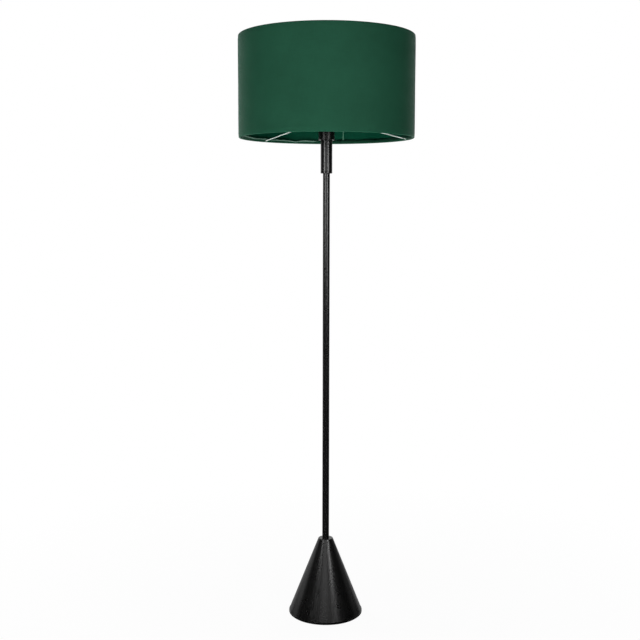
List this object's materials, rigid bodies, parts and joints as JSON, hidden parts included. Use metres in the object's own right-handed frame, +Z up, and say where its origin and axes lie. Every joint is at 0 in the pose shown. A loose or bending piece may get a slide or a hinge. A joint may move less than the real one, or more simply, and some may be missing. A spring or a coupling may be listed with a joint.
{
  "type": "floor lamp",
  "caption": "Floor lamp with a straight screwed pole on a heavy cone foot and a wide fabric drum shade held on the lampholder by a threaded collar, with its bulb.",
  "frame": {"origin": "on the floor, under the pole's axis", "axes": "+Z up along the pole, the cord leaves at the back, +Y, and the front faces -Y"},
  "size_m": [0.45, 0.45, 1.5095],
  "materials": {
    "black_paint": "satin black powder coat on steel",
    "foot_foam": "matt black foam",
    "black_rubber": "matt black rubber",
    "bare_steel": "zinc-plated steel",
    "cast_iron": "rough grey casting",
    "white_block": "natural polyamide",
    "brass_parts": "plain brass",
    "black_cable": "smooth flexible sheath",
    "black_holder": "satin black moulding",
    "ceramic": "white glazed steatite, opaque",
    "white_wire": "white powder coat on wire",
    "green_fabric": "plain-woven dark green fabric",
    "green_liner": "smooth dark green film",
    "opal_glass": "opal white glass, opaque",
    "bulb_metal": "nickel-plated brass",
    "bulb_black": "black vitreous glass"
  },
  "bodies": {
    "lamp_stand": {"base_cone": "black_paint", "pole_lower": "black_paint", "pole_middle": "black_paint", "pole_upper": "black_paint", "sleeve_cap": "black_paint", "sleeve_tube": "black_paint", "foot_pad": "foot_foam", "cord_grommet": "black_rubber", "base_plate": "bare_steel", "base_screws": "bare_steel", "block_strap": "bare_steel", "base_stud": "bare_steel", "base_washer": "bare_steel", "base_nut": "bare_steel", "pole_inserts": "bare_steel", "joint_studs": "bare_steel", "neck_stud": "bare_steel", "sleeve_disc": "bare_steel", "holder_nut": "bare_steel", "base_weight": "cast_iron", "terminal_block": "white_block", "terminal_screws": "brass_parts", "holder_terminals": "brass_parts", "screw_shell": "brass_parts", "centre_contact": "brass_parts", "inner_flex": "black_cable", "holder_cap": "black_holder", "holder_skirt": "black_holder", "holder_insulator": "ceramic"},
    "shade": {"shade_ring_bottom": "white_wire", "shade_ring_top": "white_wire", "fitter_ring": "white_wire", "spoke_1": "white_wire", "spoke_2": "white_wire", "spoke_3": "white_wire", "shade_cover": "green_fabric", "shade_liner": "green_liner"},
    "collar": {"shade_collar": "black_holder"},
    "bulb": {"bulb_globe": "opal_glass", "bulb_cap": "bulb_metal", "bulb_contact": "bulb_metal", "bulb_insulator": "bulb_black"}
  },
  "joints": [
    {"name": "shade_turn", "type": "hinge", "parent": "lamp_stand", "child": "shade", "pos_m": [0, 0, 1.3], "axis": [0, 0, 1], "continuous": true},
    {"name": "collar_turn", "type": "hinge", "parent": "lamp_stand", "child": "collar", "pos_m": [0, 0, 1.305], "axis": [0, 0, 1], "range_deg": [0, 1080]},
    {"name": "bulb_lift", "type": "slide", "parent": "lamp_stand", "child": "bulb", "axis": [0, 0, 1], "range_m": [0, 0.25]}
  ]
}
